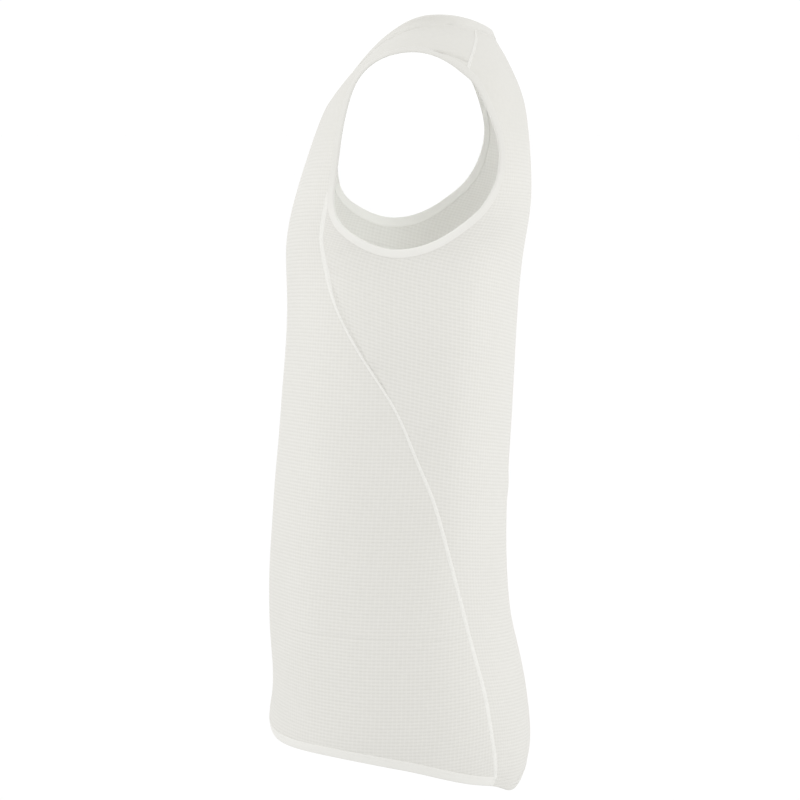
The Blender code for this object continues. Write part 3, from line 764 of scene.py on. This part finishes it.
# The side seams' half width at each height, and the shoulder seams'.
SEAM_HEIGHTS = (-.69, -.56, -.42, -.33, -.25, -.215, -.14)
SEAM_HALF_WIDTHS = (.0026, .0024, .0017, .0011, .0011, .0027, .0027)
SHOULDER_SEAM_HALF_WIDTH = 0.0015
SIDE_SEAM_COLUMNS = 260
SHOULDER_SEAM_COLUMNS = 40
NECK_COLUMNS = 121
FRONT_HEM_COLUMNS = 110
BACK_HEM_COLUMNS = 90


def closed(section):
    return np.array(section + section[:1]) * MM


def round_the_section(section):
    """Distances round a closed section from its first corner."""
    return running_total(lengths(np.diff(section, axis=0)))[:, None]


def armhole_edge(cut, distance):
    """The closed line at a distance in from the armhole's edge."""
    line = cut.armhole_line(distance)
    return np.column_stack([line, line[:, 0]])


def armhole_binding_layer(cut):
    section = closed(ARMHOLE_SECTION)
    lines = np.array([armhole_edge(cut, distance) for distance in section[:, 0]])
    return Layer(lines[:, 0], lines[:, 1], section[:, 1:], line_distances(lines[0]),
                 round_the_section(section))


def neck_binding_layer():
    section = closed(NECK_SECTION)
    turns = np.linspace(0.0, math.pi, NECK_COLUMNS)
    levels = [level_in_from(NECK_LEVEL, turns, distance) for distance in section[:, 0]]
    return Layer(turns, levels, section[:, 1:], line_distances((turns, NECK_LEVEL)),
                 round_the_section(section))


def hem_layer(cut, end_turn, columns, ribbed):
    """A hem from the side seam to the middle. The back hem's cloth keeps its ribs."""
    section = closed(HEM_SECTION)
    stand = section[:, 1:]
    turns = np.linspace(cut.side_seam[0, 0], end_turn, columns)
    levels = np.array([level_in_from(0.0, turns, distance) for distance in section[:, 0]])
    if not ribbed:
        return Layer(turns, levels, stand, girth(FROM_FRONT, turns, levels),
                     round_the_section(section))
    along, across = back_grain(turns, levels)
    return Layer(turns, levels, stand + rib_relief(turns, levels, across), along, across)


def seam_layer(line, half_widths):
    """A flat seam's ridge along a line, outside and inside the cloth."""
    shares, stands = np.array(SEAM_SECTION + SEAM_SECTION[:1]).T
    turns, levels = lines_beside(line, shares[:, None] * half_widths)
    steps = np.hypot(np.diff(shares) * half_widths.mean(), np.diff(stands) * MM)
    return Layer(turns, levels, stands[:, None] * MM, line_distances(line),
                 running_total(steps)[:, None])


# Threads: their radius, how far their middles stand out of the cloth at a stitch's ends and at its
# top, and the stitches' lengths. Zigzags lie over the flat seams, in shares of their half width.
THREAD_RADIUS = 0.00012
THREAD_SECTION = ((1.0, 0.0), (0.0, 1.0), (-1.0, 0.0), (0.0, -1.0), (1.0, 0.0))
STITCH = 2.5 * MM
STITCH_PLACES = (0.0, 0.14, 0.5, 0.86)
STITCH_STANDS = (-THREAD_RADIUS, 0.0, 0.00003, 0.0)
ZIGZAG = 2.0 * MM
ZIGZAG_SHARES = (-0.65, 0.0, 0.65, 0.0)
ZIGZAG_STAND = 0.00040
HEM_STITCHING = (7.6 * MM, 5.2 * MM)
HEM_CLOTH_STAND = 0.00038
ARMHOLE_STITCHING = 6.2 * MM
NECK_STITCHING = 8.2 * MM
BAND_CLOTH_STAND = 0.00050

# The turn between a thread's end and the middle of the body.
MIDDLE_CLEAR = 0.0004


def thread_layer(line, stands):
    """A thin four-sided thread along a line of the form."""
    section = np.array(THREAD_SECTION) * THREAD_RADIUS
    turns, levels = lines_beside(line, section[:, 0])
    return Layer(turns, levels, stands + section[:, 1:], line_distances(line),
                 np.arange(len(section))[:, None] * THREAD_RADIUS)


def stitching_layer(line, cloth_stand):
    """A row of stitches along a line."""
    along = line_distances(line)
    count = round(along[-1] / STITCH)
    places = (np.arange(count)[:, None] + np.array(STITCH_PLACES)).ravel() / count
    stands = cloth_stand + np.append(np.tile(STITCH_STANDS, count), STITCH_STANDS[0])
    return thread_layer(read_line(line, along, np.append(places, 1.0) * along[-1]), stands)


def zigzag_layer(line, half_widths):
    """A zigzag thread over a flat seam."""
    along = line_distances(line)
    count = round(along[-1] / ZIGZAG)
    shares = np.append(np.tile(ZIGZAG_SHARES, count), ZIGZAG_SHARES[0])
    distances = np.linspace(0.0, along[-1], len(shares))
    widths = np.interp(distances, along, half_widths)
    middle = read_line(line, along, distances)
    return thread_layer(shift_line(middle, shares * widths), np.full(len(shares), ZIGZAG_STAND))


# Colours of the undyed cloth and its thread, linear. The bands and the seams are painted darker
# between two
# heights and above them: painted shade on the straps and the neck. The lamps inside the top have
# the colour of the light that the cloth lets through.
# The rib knit's darker colour serves darker random tone and painted shade in the grooves.
RIB_CLOTH = (0.681, 0.674, 0.642)
RIB_TONE_AND_GROOVE_SHADE = (0.590, 0.582, 0.547)
BAND_CLOTH = (0.735, 0.729, 0.698)
BAND_SHADE = (0.615, 0.608, 0.577)
THREAD = (0.750, 0.745, 0.715)
THREAD_SHADE = (0.640, 0.634, 0.603)
PAINTED_SHADE_HEIGHTS = (-0.185, -0.120)
CLOTH_GLOW = (0.93, 0.96, 1.0)
FLOOR = (0.975, 0.975, 0.975)
FLOOR_WORN = (0.965, 0.965, 0.965)


def maths(operation, swapped=False):
    """An operator between values, and numbers, that adds one Math node."""
    def work(value, *other):
        inputs = (*other, value) if swapped else (value, *other)
        node = value.finish.node("ShaderNodeMath", dict(enumerate(inputs)), operation=operation)
        return Value(value.finish, node.outputs[0])
    return work


class Value:
    """A number that varies over a surface. A sum of values adds its own Math nodes."""

    def __init__(self, finish, socket):
        self.finish = finish
        self.socket = socket

    __add__ = maths("ADD")
    __radd__ = maths("ADD", swapped=True)
    __sub__ = maths("SUBTRACT")
    __rsub__ = maths("SUBTRACT", swapped=True)
    __mul__ = maths("MULTIPLY")
    __rmul__ = maths("MULTIPLY", swapped=True)
    __truediv__ = maths("DIVIDE")
    __mod__ = maths("FLOORED_MODULO")
    __abs__ = maths("ABSOLUTE")


class Finish:
    """A finish of the top's cloth or thread. One method makes all its nodes."""

    def __init__(self, name, roughness, sheen=0.0):
        self.material = bpy.data.materials.new(name)
        self.material.use_nodes = True
        self.nodes = self.material.node_tree.nodes
        self.links = self.material.node_tree.links
        self.surface = self.nodes["Principled BSDF"]
        for socket, value in (("Roughness", roughness), ("Specular IOR Level", 0.25),
                              ("Sheen Weight", sheen), ("Sheen Roughness", 0.6)):
            self.surface.inputs[socket].default_value = value

    def node(self, kind, values, **settings):
        """A node of a kind, with its settings made first and then its sockets' values or links."""
        made = self.nodes.new(kind)
        for name, setting in settings.items():
            setattr(made, name, setting)
        for socket, value in values.items():
            if isinstance(value, Value):
                self.links.new(value.socket, made.inputs[socket])
            else:
                made.inputs[socket].default_value = value
        return made

    def object_place(self):
        return Value(self, self.node("ShaderNodeTexCoord", {}).outputs["Object"])

    def parts(self, place):
        node = self.node("ShaderNodeSeparateXYZ", {0: place})
        return [Value(self, socket) for socket in node.outputs]

    def knit_place(self):
        """Where a point lies on its knit: along and across, in metres."""
        place = self.node("ShaderNodeUVMap", {}, uv_map="grain")
        return self.parts(Value(self, place.outputs["UV"]))[:2]

    def height_step(self, start, end):
        """0 below the height start and 1 above the height end."""
        return self.soft_step(self.parts(self.object_place())[2], start, end)

    def soft_step(self, value, start, end):
        """0 at the start and 1 at the end, with a smooth way between."""
        node = self.node("ShaderNodeMapRange", {"Value": value, "From Min": start,
                                                "From Max": end}, interpolation_type="SMOOTHSTEP")
        return Value(self, node.outputs["Result"])

    def cloudy(self, size, detail=2.0):
        """Soft patches of a size in metres, from 0 to 1."""
        node = self.node("ShaderNodeTexNoise", {"Vector": self.object_place(),
                                                "Scale": 1.0 / size, "Detail": detail})
        return Value(self, node.outputs[0])

    def lead(self, output, socket):
        self.links.new(output, self.surface.inputs[socket])

    def colour(self, share, first, second):
        """The surface's colour, between two colours."""
        node = self.node("ShaderNodeMix", {0: share, 6: (*first, 1.0), 7: (*second, 1.0)},
                         data_type="RGBA")
        self.lead(node.outputs[2], "Base Color")

    def rough(self, value):
        self.lead(value.socket, "Roughness")

    def raise_by(self, height, distance):
        node = self.node("ShaderNodeBump",
                         {"Height": height, "Distance": distance, "Strength": 1.0})
        self.lead(node.outputs["Normal"], "Normal")


def near_whole(value, pitch, shift=0.0):
    """How far a place is from the nearest whole step of a pitch: 0 on it and 0.5 between two."""
    return abs((value / pitch + (0.5 + shift)) % 1.0 - 0.5)


def rib_knit():
    finish = Finish("rib knit", roughness=0.88, sheen=0.12)
    along, across = finish.knit_place()
    ribbed = 1.0 - finish.height_step(*RIBS_FADE)
    from_groove, from_wale = near_whole(across, RIB), near_whole(along, WALE)
    # The grooves, and the dashes in them, are painted darker: painted shade in the grooves.
    groove_shade = ribbed * (1.0 - finish.soft_step(from_groove, 0.06, 0.26))
    crown = finish.soft_step(from_groove, 0.20, 0.45)
    wale = finish.soft_step(from_wale, 0.10, 0.24)
    dash = groove_shade * wale
    dot = ribbed * crown * (1.0 - finish.soft_step(from_wale, 0.08, 0.30))
    loops = near_whole(along, 0.95 * MM) * near_whole(across, 1.05 * MM, 0.25)
    patches = finish.cloudy(0.06)
    uneven = finish.cloudy(0.0035, detail=1.0)
    # Above the ribs, on the straps, the cloth is painted darker: painted shade. The patches and
    # the uneven spots are random tone.
    tone = (0.31 + 0.20 * dash + 0.15 * groove_shade + 0.10 * ribbed * wale - 0.11 * dot
            + 0.21 * (patches - 0.5) + 0.30 * (uneven - 0.5) + 0.43 * (1.0 - ribbed))
    finish.colour(tone, RIB_CLOTH, RIB_TONE_AND_GROOVE_SHADE)
    finish.rough(0.84 + 0.08 * patches)
    finish.raise_by(0.55 * dot - 0.4 * dash + 0.4 * loops, 0.10 * MM)
    return finish.material


def band_knit(name):
    finish = Finish(name, roughness=0.82, sheen=0.12)
    along, across = finish.knit_place()
    loops = near_whole(along, 0.9 * MM) * near_whole(across, 1.1 * MM)
    patches = finish.cloudy(0.03)
    upper = finish.height_step(*PAINTED_SHADE_HEIGHTS)
    # Above the painted shade's heights the band is painted darker: painted shade on the straps and
    # the neck.
    finish.colour(0.56 + 0.25 * patches + loops - 0.70 * upper, BAND_SHADE, BAND_CLOTH)
    finish.rough(0.78 + 0.08 * patches)
    finish.raise_by(loops, 0.04 * MM)
    return finish.material


def flat_seam_thread():
    finish = Finish("flat seam", roughness=0.7, sheen=0.1)
    along, _ = finish.knit_place()
    stitch = finish.soft_step(near_whole(along, 1.3 * MM), 0.05, 0.35)
    upper = finish.height_step(*PAINTED_SHADE_HEIGHTS)
    # Above the painted shade's heights the thread is painted darker: painted shade high on the
    # top.
    finish.colour(0.62 + 0.38 * stitch - 0.34 * upper, THREAD_SHADE, THREAD)
    finish.rough(0.66 + 0.08 * finish.cloudy(0.02))
    finish.raise_by(stitch, 0.08 * MM)
    return finish.material


FLOOR_REACH = 40.0
FLOOR_HEIGHT = -1.90
CAMERA_PLACE = (1.85, -0.01915, -0.024)
CAMERA_TURN = (80.0, 0.0, 90.0 - 0.593)
CAMERA_LENS = 91.575
ROOM_LIGHT = 1.04

# The softboxes' places, the points that they face, widths, heights and powers. The lamps inside
# the top stand in for the light that thin cloth lets through.
SOFTBOXES = (
    ("front softbox", (0.30, -0.95, -0.22), (0.0, 0.0, -0.20), 0.7, 0.8, 1.68),
    ("top softbox", (0.10, -0.45, 0.75), (0.10, 0.0, -0.03), 0.4, 0.4, 0.6),
    ("back softbox", (0.27, 0.95, -0.22), (0.0, 0.0, -0.25), 0.7, 0.8, 2.15),
    ("side softbox", (1.20, 0.0, 0.55), (0.0, 0.0, -0.25), 1.0, 0.4, 2.3),
)
BELOW = (0.0, 0.0, -1.0)
INSIDE_LAMPS = (
    ("low glow", "POINT", (0.0, -0.02, -0.45), BELOW, 0.47, {"shadow_soft_size": 0.03}),
    ("high glow", "POINT", (0.02, -0.02, -0.11), BELOW, 0.28, {"shadow_soft_size": 0.03}),
    ("front glow", "SPOT", (0.05, 0.08, -0.15), (-0.14, -0.055, -0.20), 0.42,
     {"shadow_soft_size": 0.02, "spot_size": math.radians(42.0), "spot_blend": 1.0}),
)


def build_top():
    cut = Cut()
    rib = rib_knit()
    binding = band_knit("binding knit")
    hem = band_knit("hem knit")
    thread = flat_seam_thread()

    def panel(node, blocks, grain):
        layers = []
        for turns, levels in blocks:
            along, across = grain(turns, levels)
            layers.append(Layer(turns, levels, rib_relief(turns, levels, across), along, across))
        return cloth_wall(f"{node}_cloth", layers, rib, node)

    def band(node, layer, finish, sides=BOTH_SIDES):
        return folded_band(f"{node}_cloth", [layer], sides, finish, node)

    front = panel("front_panel", front_panel_blocks(cut), front_grain)
    back = panel("back_panel", back_panel_blocks(cut), back_grain)
    neck = band("neck_binding", neck_binding_layer(), binding)
    layer = armhole_binding_layer(cut)
    bindings = [band(f"armhole_binding_{word}", layer, binding, (side,))
                for word, side in SIDE_WORDS]
    front_hem = band("front_hem", hem_layer(cut, 0.0, FRONT_HEM_COLUMNS, False), hem)
    back_hem = band("back_hem", hem_layer(cut, math.pi, BACK_HEM_COLUMNS, True), rib)

    side_line = resample(cut.side_seam, SIDE_SEAM_COLUMNS)
    side_widths = np.interp(form(*side_line)[:, 2], SEAM_HEIGHTS, SEAM_HALF_WIDTHS)
    neck_end = (cut.shoulder_turn,
                level_in_from(NECK_LEVEL, np.array([cut.shoulder_turn]), NECK_BAND)[0])
    armhole_end = cut.edge_stretch(AT_SHOULDER_SEAM, AT_SHOULDER_SEAM)[:, 0]
    shoulder_line = np.linspace(neck_end, armhole_end, SHOULDER_SEAM_COLUMNS, axis=1)
    shoulder_widths = np.full(SHOULDER_SEAM_COLUMNS, SHOULDER_SEAM_HALF_WIDTH)
    sewn = (("side_seam", seam_layer(side_line, side_widths)),
            ("side_zigzag", zigzag_layer(side_line, side_widths)),
            ("shoulder_seam", seam_layer(shoulder_line, shoulder_widths)),
            ("shoulder_zigzag", zigzag_layer(shoulder_line, shoulder_widths)),
            ("armhole_stitching", stitching_layer(armhole_edge(cut, ARMHOLE_STITCHING),
                                                  BAND_CLOTH_STAND)))
    seams = [folded_band(f"{name}_{word}", [layer], (side,), thread)
             for word, side in SIDE_WORDS for name, layer in sewn]

    def edge_stitching(edge_level, distance, columns, cloth_stand):
        turns = np.linspace(MIDDLE_CLEAR, math.pi - MIDDLE_CLEAR, columns)
        return stitching_layer((turns, level_in_from(edge_level, turns, distance)), cloth_stand)

    neck_thread = edge_stitching(NECK_LEVEL, NECK_STITCHING, EDGE_STATIONS // 2, BAND_CLOTH_STAND)
    hem_threads = [edge_stitching(0.0, distance, EDGE_STATIONS, HEM_CLOTH_STAND)
                   for distance in HEM_STITCHING]
    seams += [folded_band("neck_stitching", [neck_thread], BOTH_SIDES, thread),
              folded_band("hem_stitching", hem_threads, BOTH_SIDES, thread)]


def lay_floor():
    """A wide plain floor far below the top."""
    shell = bmesh.new()
    bmesh.ops.create_grid(shell, x_segments=1, y_segments=1, size=FLOOR_REACH)
    bmesh.ops.translate(shell, verts=shell.verts[:], vec=(0.0, 0.0, FLOOR_HEIGHT))
    finish = Finish("floor paint", roughness=0.9)
    finish.colour(finish.cloudy(0.5), FLOOR, FLOOR_WORN)
    mesh_object("floor", shell, finish.material)


def add_lamp(name, kind, place, look_at, power, settings):
    data = bpy.data.lights.new(name, kind)
    data.energy = power
    for setting, value in settings.items():
        setattr(data, setting, value)
    lamp = linked(name, data)
    lamp.location = place
    direction = Vector(look_at) - lamp.location
    lamp.rotation_euler = direction.to_track_quat("-Z", "Y").to_euler()
    lamp.visible_camera = kind == "AREA"


def light_studio():
    world = bpy.data.worlds.new("studio")
    bpy.context.scene.world = world
    world.use_nodes = True
    background = world.node_tree.nodes["Background"]
    background.inputs["Color"].default_value = (1.0, 1.0, 1.0, 1.0)
    background.inputs["Strength"].default_value = ROOM_LIGHT
    for name, place, look_at, width, height, power in SOFTBOXES:
        add_lamp(name, "AREA", place, look_at, power,
                 {"shape": "RECTANGLE", "size": width, "size_y": height})
    for name, kind, place, look_at, power, settings in INSIDE_LAMPS:
        add_lamp(name, kind, place, look_at, power, {"color": CLOTH_GLOW, **settings})
    bpy.context.scene.view_settings.view_transform = "Standard"


def set_camera():
    lens = bpy.data.cameras.new("camera")
    lens.lens = CAMERA_LENS
    lens.sensor_width = 36.0
    lens.clip_start = 0.05
    lens.clip_end = 60.0
    camera = linked("camera", lens)
    camera.location = CAMERA_PLACE
    camera.rotation_euler = [math.radians(degrees) for degrees in CAMERA_TURN]
    bpy.context.scene.camera = camera


build_top()
lay_floor()
light_studio()
set_camera()

bpy.context.view_layer.update()
